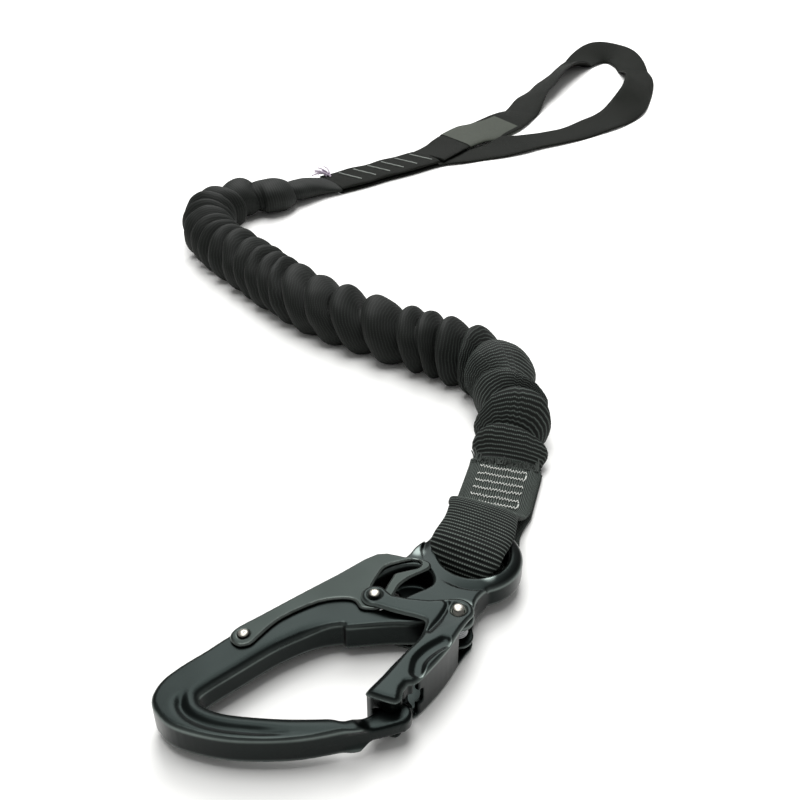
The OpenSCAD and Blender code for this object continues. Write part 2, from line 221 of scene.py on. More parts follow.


# %% [markdown]
# ## The gathered sheath
#
# The real sheath is a woven tube, sewn at both ends over an elastic core that pulls it short, so
# the spare cloth stands out in lobes with sharp creases between them. A cloth simulation would give
# lobes of its own choosing, so the creases are listed: for each one, how far along it lies
# on the left side and on the right side. Between two creases the radius swells and leans towards
# the far end, and the woven ribs run round the tube, a whole number to each lobe. Past the far bend
# the tube is slim, and two loose folds hang from its near side.

# %% Gathered sheath
CREASES = [
    (0, 0), (9, 11), (17, 27), (49, 33), (58, 65), (69, 76), (83, 91), (92, 100), (102, 111),
    (121, 134), (137, 152), (152, 170), (167, 187), (178, 197), (187, 206), (201, 216), (213, 228),
    (228, 240), (243, 250), (254, 258), (264, 268), (279, 279), (291, 291), (305, 304),
    (323, 320), (346, 343), (376, 368), (408, 408)]
MARKED_LENGTH = 408          # the length along which the creases were marked, in mm
TUBE_R = 13                  # radius of the tube without its lobes
CREASE_TURN = math.pi / 4    # the side on which the creases lie farthest forward
CREST, SMALL_CREST = 1.19, 0.12
DEEPEST = 0.52               # smallest share of the radius, so the core stays covered
RIB_PITCH, RIB_HEIGHT = 1.5, 0.22
BUMP_SPAN, BUMP_HEIGHT = 9.0, 0.7
CLOTH_ROUND = 82             # the cloth's own width round the tube
FLOOR_GAP, FLOOR_SOFT = 0.15, 0.9
SLIM_FROM, SLIM_TO = 298, 322
HANGING_FOLDS, FOLD_SPAN = (314, 349), 8.0
SHEATH_ROWS, SHEATH_ROUND = 1280, 60


def sheath_line():
    """Middle, half width, half height, sideways vectors and distance along the sheath."""
    line = smooth_line(SHEATH_ROUTE, 24)
    middle = np.column_stack([line[:, :2], line[:, 3]])
    return middle, line[:, 2], line[:, 3], sides_of(line), run_of(middle)


def sheath_shape(u, w):
    middle, wide, high, side, run = sheath_line()
    total = run[-1]
    angle = 2 * math.pi * w
    left, right = (np.array(CREASES, float) * total / MARKED_LENGTH).T
    chance = random.Random(7)
    wander = [(chance.uniform(-1.6, 1.6), chance.uniform(0, 6.28)) for _ in CREASES]
    swell = [(chance.uniform(0.8, 1.1), chance.uniform(0, 6.28)) for _ in CREASES]
    columns = np.round(w * SHEATH_ROUND).astype(int)
    rows = np.round(u * SHEATH_ROWS).astype(int)
    count = len(CREASES)
    radius = np.ones(len(u))
    shift = np.zeros(len(u))
    lobe = np.zeros(len(u), int)
    part = np.zeros(len(u))
    for k in range(SHEATH_ROUND + 1):
        here = columns == k
        a = 2 * math.pi * k / SHEATH_ROUND
        at = np.array([(left[i] + right[i]) / 2
                       + (left[i] - right[i]) / 2 * math.cos(a + CREASE_TURN)
                       + ((wander[i][0] * math.sin(2 * a + wander[i][1])
                           + 2.0 * math.cos(a - CREASE_TURN)) if 0 < i < count - 1 else 0)
                       for i in range(count)])
        at = np.maximum.accumulate(np.clip(at, 0, total) + np.arange(count) * 1e-3)
        s = u[here] * total
        phase = np.clip(np.interp(s, at, np.arange(count)), 0, count - 1 - 1e-6)
        i = phase.astype(int)
        t = phase - i
        length = (at[1:] - at[:-1])[i]
        round_off = np.sin(math.pi * t ** 1.2) ** 0.66
        strong = np.array([size + 0.2 * math.cos(a - turn) for size, turn in swell])[i]
        depth = np.clip(0.42 * length + 3.6, 2.6, 9.0) * strong
        depth *= 1 - 0.45 * smooth_step(296, 320, s)
        crest = CREST - SMALL_CREST * (1 - np.clip(length / TUBE_R, 0, 1))
        radius[here] = np.maximum(crest - depth / TUBE_R * (1 - round_off), DEEPEST)
        shift[here] = (0.12 * length * round_off * smooth_step(0, 14, s)
                       * smooth_step(0, 30, total - s))
        lobe[here] = i
        part[here] = t
    s = u * total
    easy = smooth_step(-2, 10, s) * smooth_step(-4, 46, total - s)
    radius = 1 + (radius - 1) * easy
    near_side = np.clip(-np.cos(angle), 0, 1) ** 2
    for at_fold in HANGING_FOLDS:
        radius += 0.42 * near_side * np.exp(-((s - at_fold) / FOLD_SPAN) ** 2)
    radius -= 0.17 * smooth_step(SLIM_FROM, SLIM_TO, s) * smooth_step(-10, 40, total - s)
    s_there = np.clip(s + shift, 0, total)
    centre, out = follow(s_there, run, middle, side)
    a, b = np.interp(s_there, run, wide), np.interp(s_there, run, high)

    def skin(extra):
        """The tube's surface, moved outwards by extra."""
        across, up = (a * radius + extra) * np.cos(angle), (b * radius + extra) * np.sin(angle)
        p = centre + out * across[:, None]
        p[:, 2] += up
        return p

    base = skin(0)
    bumps = np.array([noise.noise(Vector(p) / BUMP_SPAN)
                      for p in np.column_stack([base[:, 0], base[:, 1], base[:, 2] + 40])])
    base = skin(BUMP_HEIGHT * bumps * easy)
    # the distance over the cloth inside each lobe is made a whole number of ribs
    grid = np.zeros((SHEATH_ROWS + 1, SHEATH_ROUND + 1, 3))
    grid[rows, columns] = base
    lobes = np.zeros((SHEATH_ROWS + 1, SHEATH_ROUND + 1), int)
    lobes[rows, columns] = lobe
    step = np.linalg.norm(np.diff(grid, axis=0), axis=2)
    over = np.vstack([np.zeros((1, SHEATH_ROUND + 1)), np.cumsum(step, axis=0)])
    ribs_before = np.zeros(count)
    spans = np.zeros((count - 1, SHEATH_ROUND + 1, 2))
    for i in range(count - 1):
        for k in range(SHEATH_ROUND + 1):
            mine = over[lobes[:, k] == i, k]
            spans[i, k] = (mine[0], mine[-1]) if len(mine) > 1 else (0, 1)
        cloth_length = np.mean(spans[i, :, 1] - spans[i, :, 0])
        ribs_before[i + 1] = ribs_before[i] + max(2, round(cloth_length / RIB_PITCH))
    first, last = spans[lobe, columns, 0], spans[lobe, columns, 1]
    inside = np.clip((over[rows, columns] - first) / np.maximum(last - first, 0.1), 0, 1)
    rib = ribs_before[lobe] + inside * (ribs_before[lobe + 1] - ribs_before[lobe])
    ridge = (0.5 + 0.5 * np.cos(2 * math.pi * rib)) ** 1.4
    base = skin(BUMP_HEIGHT * bumps * easy
                + RIB_HEIGHT * ridge * (1 - 0.8 * smooth_step(55, 95, s)))
    # what would sink into the floor is pressed flat just above it
    pressed = FLOOR_GAP + 0.75 * np.exp((base[:, 2] - FLOOR_SOFT) / FLOOR_SOFT)
    base[:, 2] = np.where(base[:, 2] < FLOOR_SOFT, pressed, base[:, 2])
    cloth = np.column_stack([rib * RIB_PITCH, w * CLOTH_ROUND])
    # The painted rib highlight is full on the near puffs and falls away from 50 mm on: partly the
    # ribs growing faint, partly painted light, the near puffs being lit more.
    return base, cloth, 1 - 0.86 * smooth_step(50, 85, s)


sheath = wrapped("gathered_sheath", SHEATH_ROWS, SHEATH_ROUND, sheath_shape)
sheath_middle, *_, sheath_run = sheath_line()
print("sheath length in mm:", round(sheath_run[-1], 1), "triangles:", len(sheath.data.polygons) * 2)

# %% [markdown]
# ## The end loop
#
# The far end is the same webbing, flat, sewn back on itself into a long loop. It leans on its edge
# in places, as a stiff strap does when it is laid round in a curve, so its route gives the lean at
# every point. The two strands meet in the sewn lap.

# %% End loop
LOOP_STEPS = 20
LOOP_GAP, LOOP_RIPPLE, LOOP_RIB_HIGHLIGHT_SHARE = 0.15, 0.7, 0.6


def loop_line(first, last):
    """Middle, lean, sideways vectors and distance along the loop, between two rows of its route."""
    line = smooth_line(LOOP_ROUTE, LOOP_STEPS)
    line = line[first * LOOP_STEPS:None if last is None else last * LOOP_STEPS + 1]
    lean = np.radians(line[:, 2])
    height = (np.abs(np.sin(lean)) * STRAP_W / 2 + np.abs(np.cos(lean)) * STRAP_T / 2
              + LOOP_GAP + line[:, 3])
    middle = np.column_stack([line[:, :2], height])
    return middle, lean, sides_of(line), run_of(middle)


def laid_strap(first, last, grow, ripple):
    """The shape of flat webbing on the loop's route, larger by grow, with wavy edges."""
    middle, lean, side, run = loop_line(first, last)

    def shape(u, w):
        s = u * run[-1]
        centre, out = follow(s, run, middle, side)
        r = np.interp(s, run, lean)
        across, up = strap_section(w, STRAP_W / 2 + grow, STRAP_T / 2 + grow)
        calm = smooth_step(0, 30, s) * smooth_step(0, 30, run[-1] - s)
        wave = np.sin(s / 11.0 + 1.3 * np.sin(s / 29.0)) * np.abs(across / 14) ** 3
        up = up + ripple * calm * wave
        p = centre + out * (across * np.cos(r) - up * np.sin(r))[:, None]
        p[:, 2] += across * np.sin(r) + up * np.cos(r)
        p[:, 2] = np.maximum(p[:, 2], 0.1)
        cloth = np.column_stack([s, w * 2 * STRAP_W])
        return p, cloth, np.full(len(u), LOOP_RIB_HIGHLIGHT_SHARE)

    return shape, place(middle[::5]), run[-1]


shape, loop_path, loop_length = laid_strap(0, None, 0, LOOP_RIPPLE)
end_loop = wrapped("end_loop_webbing", 620, 32, shape)
print("end loop length in mm:", round(loop_length, 1))

# %% [markdown]
# ## The blank label
#
# A woven sleeve lies round one strand of the loop, near the place where the strands part. It stays
# blank. It is one layer of thin cloth, wrapped a third of a millimetre outside the webbing.

# %% Label
LABEL_FROM, LABEL_TO = 25, 28  # rows of the loop's route
LABEL_GAP = 0.32
shape, _, label_length = laid_strap(LABEL_FROM, LABEL_TO, LABEL_GAP, 0)
label = wrapped("blank_label", 110, 40, shape, ends=False)
print("label length in mm:", round(label_length, 1))

# %% [markdown]
# ## The strap through the eye
#
# One length of webbing lies flat under the sewn stretch, goes under the eye, comes up through the
# hole, rolls over the top and runs back to its cut end. Its side view is one line, and the strap
# is drawn in where it squeezes through the hole. Its ribs are real ridges on the roll, and fade on
# the flat, where the cloth is pulled smooth.

# %% Strap through the eye
LEAD_DEGREES = 42
EYE = (114.5, -0.5)
BEND_S, BEND_Z, BEND_R = 1.5, 9.7, 8.5
HALF_STRAP, UNDER_HALF = 14.3, 14.6
ROLL_RIB_HEIGHT, ROLL_BOW = 0.26, 0.9
ROLL_TURN = math.radians(-13)
CUT_WAVE = 0.55  # radians to a millimetre across
BEND = [[BEND_S + BEND_R * math.cos(a), BEND_Z + BEND_R * math.sin(a)]
        for a in map(math.radians, range(90, 271, 15))]
STRAP_SIDE = ([[62, 4.3], [58, 3.95], [52, 3.85], [46, 3.8], [41, 3.8], [36.5, 3.9], [33.4, 4.7],
               [30.4, 7.4], [27, 11.2], [23, 15.0], [18.5, 17.5], [13, 18.5], [7, 18.6]]
              + BEND + [[8, 1.3], [16, 1.3], [25, 1.3], [34, 1.3], [44, 1.3], [54, 1.3], [64, 1.3]])
side_line = smooth_line(STRAP_SIDE, 14)
side_run = run_of(side_line)
side_dir = np.gradient(side_line, axis=0)
side_dir /= np.linalg.norm(side_dir, axis=1)[:, None]


def places_from(x, y, degrees):
    """A function that turns places along a direction, across it and up into points in mm."""
    turn = math.radians(degrees)
    u_dir = np.array([math.cos(turn), math.sin(turn), 0])
    v_dir = np.array([-math.sin(turn), math.cos(turn), 0])

    def points(s, across, z):
        return (np.array([x, y, 0.0]) + np.outer(s, u_dir) + np.outer(across, v_dir)
                + np.outer(z, [0, 0, 1]))

    return points


along_lead = places_from(*EYE, LEAD_DEGREES)


def eye_strap_shape(u, w):
    run = u * side_run[-1]
    s, z = (np.interp(run, side_run, side_line[:, i]) for i in range(2))
    ds, dz = (np.interp(run, side_run, side_dir[:, i]) for i in range(2))
    front = smooth_step(8, 2, s)
    low = smooth_step(16.2, 12.6, z)
    squeeze = front * low * smooth_step(24, 4, s)
    half = HALF_STRAP - 1.3 * smooth_step(33, 24, s) - 2.0 * squeeze
    half = np.where((z < 3) & (s > 2), np.minimum(UNDER_HALF, 9.1 + 0.3 * (s - 2)), half)
    thick = STRAP_T / 2 * (1 + 0.5 * squeeze)
    across, up = strap_section(w, half, thick)
    on_roll = smooth_step(34, 29, s) * smooth_step(2.4, 5, z)
    ridge = (0.5 + 0.5 * np.cos(2 * math.pi * run / RIB_PITCH)) ** 1.5
    to_edge = np.sqrt(np.clip(1 - (across / half) ** 8, 0, 1))
    up = up + np.where(w < 0.5, 1, -1) * ROLL_RIB_HEIGHT * ridge * on_roll * to_edge
    bow = -ROLL_BOW * on_roll * (across / 14) ** 2
    end = smooth_step(59.6, 62, s) * (z > 3)
    up = up + bow + end * 0.9 * np.sin(across * CUT_WAVE + 0.8) * smooth_step(0, 8, across + 8)
    s2, z2 = s + up * dz, z - up * ds
    turn = ROLL_TURN * smooth_step(36, 14, s2)
    across = across + 4.8 * smooth_step(38, 24, s2) - 3.3 * smooth_step(22, 5, s2)
    s2, across = (s2 * np.cos(turn) - across * np.sin(turn),
                  s2 * np.sin(turn) + across * np.cos(turn))
    points = along_lead(s2, across, z2)
    points[:, 2] = np.maximum(points[:, 2], 0.1)
    cloth = np.column_stack([run, w * 2 * STRAP_W])
    return points, cloth, on_roll


eye_strap = wrapped("eye_strap", 560, 56, eye_strap_shape)
print("eye strap length in mm:", round(side_run[-1], 1))

# %% [markdown]
# ## Threads
#
# Stitches, fringe and the loose tail are all thread. Each is a fine tube along a line of points.
# A curve with a round bevel makes such a tube, and it is turned into a mesh before it is placed.

# %% Threads
TACK_R, FRINGE_R, TAIL_R = 0.24, 0.3, 0.45  # radii in mm, drawn thick enough to show
TACK_ROWS = [36.2 + 4.5 * i for i in range(6)]
TACK_HALF = (9.6, -9)
FRINGE_THREADS, CUT_END = 190, 60.6


def threads(name, lines, radius):
    """One mesh of fine tubes, each along its own line of points in mm."""
    curve = bpy.data.curves.new(name, "CURVE")
    curve.dimensions = "3D"
    curve.bevel_depth = radius * MM
    curve.bevel_resolution = 1
    curve.use_fill_caps = True
    for line in lines:
        spline = curve.splines.new("POLY")
        spline.points.add(len(line) - 1)
        for point, p in zip(spline.points, place(line)):
            point.co = (*p, 1)
    holder = linked(name + "_line", curve)
    graph = bpy.context.evaluated_depsgraph_get()
    mesh = bpy.data.meshes.new_from_object(holder.evaluated_get(graph))
    bpy.data.objects.remove(holder)
    mesh.name = name
    mesh.shade_smooth()
    return linked(name, mesh)


def zigzag(s0, across0, across1, z, reach, pitch, chance):
    """A close zigzag of stitches across the webbing."""
    count = int(abs(across1 - across0) / pitch)
    t = np.arange(count + 1) / count
    across = across0 + (across1 - across0) * t
    s = s0 + reach * np.where(np.arange(count + 1) % 2, 1, -1)
    s = s + np.array([chance.uniform(-0.28, 0.28) for _ in t]) + 0.15 * np.sin(across * 0.7 + s0)
    return along_lead(s, across, z + np.array([chance.uniform(-0.12, 0.12) for _ in t]))


chance = random.Random(3)
rows = []
for i, s0 in enumerate(TACK_ROWS):
    a0, a1 = TACK_HALF[::-1] if i % 2 else TACK_HALF
    rows.append(zigzag(s0, a0, a1, 5.75 if i == 0 else 5.3, 0.62, 0.6, chance))
    if i in (0, 4):
        climb = np.linspace(s0 + 1.2, s0 + 3.2, 3)
        rows.append(along_lead(climb, np.full(3, a1) + chance.uniform(-0.2, 0.2),
                               np.full(3, 5.08)))
bar_tacks = threads("eye_bar_tack_thread", rows, TACK_R)

fringe_lines = []
for _ in range(FRINGE_THREADS):
    across = chance.uniform(-13.2, 13.2)
    lift = 0.9 * math.sin(across * CUT_WAVE + 0.8) * min(1, max(0, (across + 8) / 8))
    reach = chance.uniform(1.4, 4.0) * (1.9 if abs(across) > 11.5 else 1)
    side_push = chance.uniform(-1.4, 1.4) + (0.8 if across > 11 else 0)
    t = np.linspace(0, 1, 6)
    height = 4.7 + lift + chance.uniform(-1.0, 0.9) + chance.uniform(-0.4, 1.9) * t ** 1.5
    fringe_lines.append(along_lead(CUT_END + reach * t, across + side_push * t ** 2, height))
fringe = threads("cut_end_fringe", fringe_lines, FRINGE_R)
print("stitch rows:", len(TACK_ROWS), "fringe threads:", len(fringe_lines))

# %% [markdown]
# ## The far lap
#
# Where the sheath ends, two layers of webbing are sewn together, and the loop's strands come out
# of them. The stitches there run slantwise and have worn pale.

# %% Far lap
FAR_LENGTH = 84.0
FAR_ROWS = [19 + 12 * i for i in range(5)] + [80.5]
FAR_TACK_R, FAR_STITCHES = 0.3, 44
TAIL_THREADS = 10
along_far = places_from(250.5, 353.0, 6)


def far_layer(z, swell):
    """The shape of one layer of the lap, whose top puffs up between its stitches by swell."""
    def shape(u, w):
        s = 0.3 + u * FAR_LENGTH
        across, up = strap_section(w, 14 - 0.35 * np.cos(s / 6.3), STRAP_T / 2)
        up = up + swell * (w < 0.5) * (np.sin(s / 4.1 + across / 9) * 0.25 + 0.25)
        points = along_far(s, across, z + up)
        return points, np.column_stack([s, w * 2 * STRAP_W]), np.full(len(u), 0.2)
    return shape


lap_lower = wrapped("far_lap_under", 120, 28, far_layer(1.3, 0))
lap_upper = wrapped("far_lap_over", 160, 28, far_layer(3.8, 1))


def slant_row(s0):
    """One slanted row of stitches."""
    stitch = np.arange(FAR_STITCHES)
    t = stitch / (FAR_STITCHES - 1)
    across = -9 + 18 * t
    s = s0 - 5.8 * t + 0.6 * np.where(stitch % 2, 1, -1)
    return along_far(s, across, 5.35 + 0.05 * np.sin(across))


far_tacks = threads("far_bar_tack_thread", [slant_row(s0) for s0 in FAR_ROWS], FAR_TACK_R)

tail_lines = []
for i in range(TAIL_THREADS):
    t = np.linspace(0, 1, 10)
    lean, wave = chance.uniform(-0.25, 0.25), chance.uniform(0.6, 1.6)
    tail_lines.append(along_far(4 + 1.2 * lean + wave * np.sin(3 * t + i) - 3.0 * t * (i % 3),
                                6 + i * 0.6 + 8.5 * t + lean * 4 * t,
                                5.6 + (9.5 - i * 0.8) * t - 4.5 * t ** 2))
loose_tail = threads("loose_thread_tail", tail_lines, TAIL_R)
print("far lap layers: 2, slanted rows:", len(FAR_ROWS))

# %% [markdown]
# ## The elastic core
#
# Inside the sheath lies the band of elastic that gathers it. It doesn't show, but it is there.

# %% Elastic core
CORE_HALF_W, CORE_HALF_T, THINNEST = 5.2, 2.3, 0.6
CORE_ROUND = 30


def core_shape(u, w):
    middle, wide, high, side, run = sheath_line()
    s = u * run[-1]
    centre, out = follow(s, run, middle, side)
    half = np.minimum(np.interp(s, run, wide) - 6.0, CORE_HALF_W)
    thick = np.minimum(np.interp(s, run, high) - 2.4, CORE_HALF_T)
    across, up = strap_section(w, half, np.maximum(thick, THINNEST))
    points = centre + out * across[:, None]
    points[:, 2] += up
    return points, np.column_stack([s, w * CORE_ROUND]), np.zeros(len(u))


elastic = wrapped("elastic_band", 200, 20, core_shape)
print("elastic core faces:", len(elastic.data.polygons))

# %% [markdown]
# ## Forged and stamped parts
#
# The hook's body, its gate and its lever have the right outlines in the CAD model, but the real
# ones have rounded edges and shallow relief. Bevelling a mesh of loose triangles breaks it, so a
# copy is merged and remeshed with small even cells, as clay is, and its points are moved by how
# far they lie from an edge or from a line of the relief.

# %% Tools for forged parts
CAD_WELD = 2e-6  # metres


def merged(node):
    """A bmesh of a CAD node with its loose triangles joined."""
    bm = bmesh.new()
    bm.from_mesh(NODES[node].data)
    bmesh.ops.remove_doubles(bm, verts=bm.verts, dist=CAD_WELD)
    return bm


def soften(bm, factor):
    """Draws every point a share of the way to the middle of its neighbours."""
    bmesh.ops.smooth_vert(bm, verts=bm.verts, factor=factor,
                          use_axis_x=True, use_axis_y=True, use_axis_z=True)


def rim_segments(node, level, skip=None):
    """The edges, in mm of the drawing, where a flat face at a level meets an upright wall."""
    bm = merged(node)
    found = []
    for e in bm.edges:
        if len(e.link_faces) != 2:
            continue
        upright, flat = sorted(abs(f.normal.z) for f in e.link_faces)
        a, b = (np.array(v.co) / MM - SHIFT for v in e.verts)
        if (upright < 0.3 and flat > 0.95 and min(a[2], b[2]) > level
                and not (skip and skip(a, b))):
            found.append((a[0], a[1], b[0], b[1]))
    bm.free()
    return np.array(found)


def chain(points):
    """The segments between points in a row."""
    p = np.asarray(points, float)
    return np.column_stack([p[:-1], p[1:]])


def distance(points, segments):
    """Distance in plan from each point to the nearest segment."""
    best = np.full(len(points), 1e9)
    for x0, y0, x1, y1 in segments:
        d = np.array([x1 - x0, y1 - y0])
        q = points[:, :2] - (x0, y0)
        t = np.clip(q @ d / max(d @ d, 1e-9), 0, 1)
        best = np.minimum(best, np.hypot(q[:, 0] - t * d[0], q[:, 1] - t * d[1]))
    return best


def clay_copy(node, name, cell):
    """A merged copy of a CAD node, remeshed with even cells and smoothed a little."""
    bm = merged(node)
    source = new_piece(bm, name + "_blank")
    remesh = source.modifiers.new("cells", "REMESH")
    remesh.mode = "VOXEL"
    remesh.voxel_size = cell * MM
    graph = bpy.context.evaluated_depsgraph_get()
    mesh = bpy.data.meshes.new_from_object(source.evaluated_get(graph))
    bpy.data.objects.remove(source)
    bm = bmesh.new()
    bm.from_mesh(mesh)
    for _ in range(3):
        soften(bm, 0.5)
    piece = new_piece(bm, name)
    print(name, "faces:", len(piece.data.polygons))
    return piece


def reshape(piece, rule):
    """Moves a piece's points by a rule on their places in mm, and stores how pale each is, from wear
    and painted highlight.
    """
    mesh = piece.data
    flat = np.zeros(len(mesh.vertices) * 3)
    mesh.vertices.foreach_get("co", flat)
    points = flat.reshape(-1, 3) / MM - SHIFT
    points, edge = rule(points)
    mesh.vertices.foreach_set("co", place(points).ravel())
    wear_and_painted_highlight = mesh.attributes.new("edge_wear_and_painted_highlight", "FLOAT", "POINT")
    wear_and_painted_highlight.data.foreach_set("value", edge.astype(np.float32))
    bm = bmesh.new()
    bm.from_mesh(mesh)
    soften(bm, 0.4)
    bm.to_mesh(mesh)
    bm.free()
    mesh.update()


# %% [markdown]
# ## The hook's body
#
# The nose has a soft rib round the jaw with a groove outside it, the eye's rim is well rounded,
# and the nose thins to a tongue by a short ramp. The body is the same on both faces, so every
# height is scaled about its middle.

# %% Hook body
MID_Z, HALF_T, TONGUE_HALF = 8.4, 5.4, 2.5
STEP_X = 49.5
RIM_R, RIM_ROUND, RIM_SPAN = 17, 1.3, 5.2
JAW_ROLL, JAW_SPAN = 1.25, 3.8
GROOVE_AT, GROOVE_DEPTH, GROOVE_SPAN = 5.4, 1.1, 1.5
BODY_CELL = 0.48
JAW = [[61.3, -5.4], [54.4, -3.2], [40.8, -2.6], [26.9, -4.4], [15.4, -6.2], [12.5, -8.2],
       [13.2, -11.8], [18.0, -17.5], [29.4, -26.2], [41.4, -33.6], [46.8, -36.2], [52, -37.2]]
# Two pale spots at the eye, painted highlights for light off chamfer facets that the shape lacks.
PAINTED_EYE_HIGHLIGHTS = [(98.8, 9.8), (112.1, -12.4)]


def on_step(a, b):
    """Whether an edge is the step where the tongue starts, which has its own ramp."""
    return abs(a[0] - STEP_X) < 0.1 and abs(b[0] - STEP_X) < 0.1


body_rim = rim_segments("hook_body", MID_Z + 2, on_step)


def forge_body(p):
    x, y, z = p.T
    edge = distance(p, body_rim)
    jaw = distance(p, chain(smooth_line(JAW, 6)))
    from_eye = np.hypot(x - EYE[0], y - EYE[1])
    drop = 0.6 * np.clip(1 - edge / 1.1, 0, 1) ** 2
    on_rim = smooth_step(98, 112, x + 0.4 * np.abs(y)) * (from_eye < RIM_R + 0.6)
    drop += RIM_ROUND * on_rim * np.clip(1 - (RIM_R - from_eye) / RIM_SPAN, 0, 1) ** 2
    nose = smooth_step(60, 48, x)
    round_nose = smooth_step(34, 20, x) * smooth_step(-3, -8, y)
    lower_bar = smooth_step(-14, -22, y) * smooth_step(46, 24, x)
    groove = np.maximum(round_nose, 0.3 * lower_bar)
    drop += GROOVE_DEPTH * groove * np.exp(-((jaw - GROOVE_AT) / GROOVE_SPAN) ** 2)
    drop += JAW_ROLL * nose * np.clip(1 - jaw / JAW_SPAN, 0, 1) ** 2
    height = 1 - drop / HALF_T
    above = np.abs(z - MID_Z)
    ramp = np.clip((above - TONGUE_HALF) / (HALF_T - TONGUE_HALF), 0, 1)
    on_bar = (y < -30) & (x < 50.3)
    x = x - np.where(on_bar, 3.4 * ramp * smooth_step(40, 49.3, x), 0)
    z = MID_Z + (z - MID_Z) * height
    # Pale edges: partly real wear, partly a painted highlight standing in for light along the top
    # edges.
    wear_and_painted_highlight = 0.7 * np.exp(-(edge / 0.6) ** 2) * smooth_step(3.6, 5.0, above)
    # the painted highlight spots at the eye
    for px, py in PAINTED_EYE_HIGHLIGHTS:
        wear_and_painted_highlight += 0.8 * np.exp(-(np.hypot(x - px, y - py) / 2.2) ** 4) * (above > 4.6)
    return np.column_stack([x, y, z]), wear_and_painted_highlight


body = clay_copy("hook_body", "forged_hook_body", BODY_CELL)
reshape(body, forge_body)

# %% [markdown]
# ## The gate
#
# The gate is a cast shell: two cheeks joined by an outer wall and a solid tip. Its upper cheek has
# a thumb scoop and a curved groove round the pivot.

# %% Gate
CHEEK_TOP, CHEEK_T = 16.8, 1.5
GATE_CELL, DEEPEST_DROP = 0.34, 1.15
GROOVE = [[91.8, -15.1], [92.0, -18.3], [86.9, -21.6], [81.0, -24.1]]
SCOOP = [[82.5, -30.6], [77.0, -31.0], [72.2, -32.6], [69.2, -35.8]]
RIDGE = [[78.8, -5.3], [83.0, -9.2], [88.1, -13.4], [95.0, -17.0]]
gate_rim = rim_segments("gate", CHEEK_TOP - 0.3)


def shape_gate(p):
    x, y, z = p.T
    edge = distance(p, gate_rim)
    drop = 0.75 * np.clip(1 - edge / 1.5, 0, 1) ** 2
    groove = np.exp(-(distance(p, chain(smooth_line(GROOVE, 6))) / 0.8) ** 2)
    drop += 0.55 * groove * smooth_step(0, 2, edge)
    drop += 1.0 * np.exp(-(distance(p, chain(smooth_line(SCOOP, 6))) / 2.0) ** 4)
    drop += 0.9 * np.clip(1 - edge / 2.6, 0, 1) ** 2 * smooth_step(72, 64, x)
    arm = smooth_step(-27, -22, y) * np.clip(1 - distance(p, chain(RIDGE)) / 9, 0, 1)
    drop += 0.45 * (1 - arm) * smooth_step(-27, -22, y)
    share = np.clip((z - (CHEEK_TOP - CHEEK_T)) / CHEEK_T, 0, 1)
    z = z - np.clip(drop, 0, DEEPEST_DROP) * share
    lower = np.clip((CHEEK_T - z) / CHEEK_T, 0, 1)
    z = z + 0.6 * np.clip(1 - edge / 1.3, 0, 1) ** 2 * lower
    # Pale rims on both cheeks: partly wear, partly a painted edge highlight.
    wear_and_painted_highlight = np.exp(-(edge / 0.55) ** 2) * np.maximum(share, lower)
    return np.column_stack([x, y, z]), wear_and_painted_highlight


gate = clay_copy("gate", "cast_gate", GATE_CELL)
reshape(gate, shape_gate)

# %% [markdown]
# ## The lever
#
# Two stamped plates joined along the grip. Stamping rolls their edges over slightly, and handling
# polishes them; the paler edges are partly that wear and partly a painted highlight.

# %% Lever
LEVER_TOP, LEVER_T, LEVER_CELL = 15.15, 1.2, 0.33
lever_rim = rim_segments("lever", LEVER_TOP - 0.2)


def shape_lever(p):
    x, y, z = p.T
    edge = distance(p, lever_rim)
    share = np.clip((z - (LEVER_TOP - LEVER_T)) / LEVER_T, 0, 1)
    z = z - 0.35 * np.clip(1 - edge / 0.8, 0, 1) ** 2 * share
    # The pale edge returned here is partly wear, partly a painted highlight.
    return np.column_stack([x, y, z]), np.exp(-(edge / 0.45) ** 2) * share


lever = clay_copy("lever", "stamped_lever", LEVER_CELL)
reshape(lever, shape_lever)

# %% [markdown]
# ## Rivets, pin and springs
#
# A rivet is turned, so its half outline is spun once round. The heads are low domes with a small
# dish, from the tool that set them. The gate spring is a real coil: a ring of wire spun round the
# rivet while it climbs. The lever's spring needs no more detail, so the CAD node itself is kept.

# %% Rivets and springs
GATE_PIVOT, PIN_AT, LEVER_PIVOT = (93.6, -21.7, 0), (74.6, -2.2, 0), (32.7, 5.7, 0)
TURNED_STEPS, HEAD_EDGE = 48, 0.25


def turned_part(name, at, outline):
    """Spins a half outline, as radius and height in mm, once round an upright axis."""
    bm = bmesh.new()
    verts = [bm.verts.new((r * MM, 0, z * MM)) for r, z in outline]
    edges = [bm.edges.new(pair) for pair in zip(verts, verts[1:])]
    bmesh.ops.spin(bm, geom=verts + edges, cent=(0, 0, 0), axis=(0, 0, 1), angle=2 * math.pi,
                   steps=TURNED_STEPS, use_merge=True)
    bmesh.ops.remove_doubles(bm, verts=bm.verts, dist=WELD)
    bmesh.ops.recalc_face_normals(bm, faces=bm.faces)
    bmesh.ops.translate(bm, verts=bm.verts, vec=place([at])[0])
    return new_piece(bm, name)


def rivet_outline(shank, foot, foot_z, head, head_z, rise):
    """Foot, shank, and a dished dome."""
    base = head_z + HEAD_EDGE
    dome = [(head * math.cos(a), base + rise * math.sin(a) ** 0.9)
            for a in np.radians(np.linspace(0, 72, 9))]
    dish = [(r * head, base + rise * h) for r, h in ((0.26, 0.93), (0.12, 0.84), (0, 0.82))]
    return ([(0, foot_z), (foot * 0.85, foot_z), (foot, foot_z + HEAD_EDGE),
             (shank, foot_z + 3 * HEAD_EDGE), (shank, head_z), (head * 0.93, head_z)] + dome + dish)


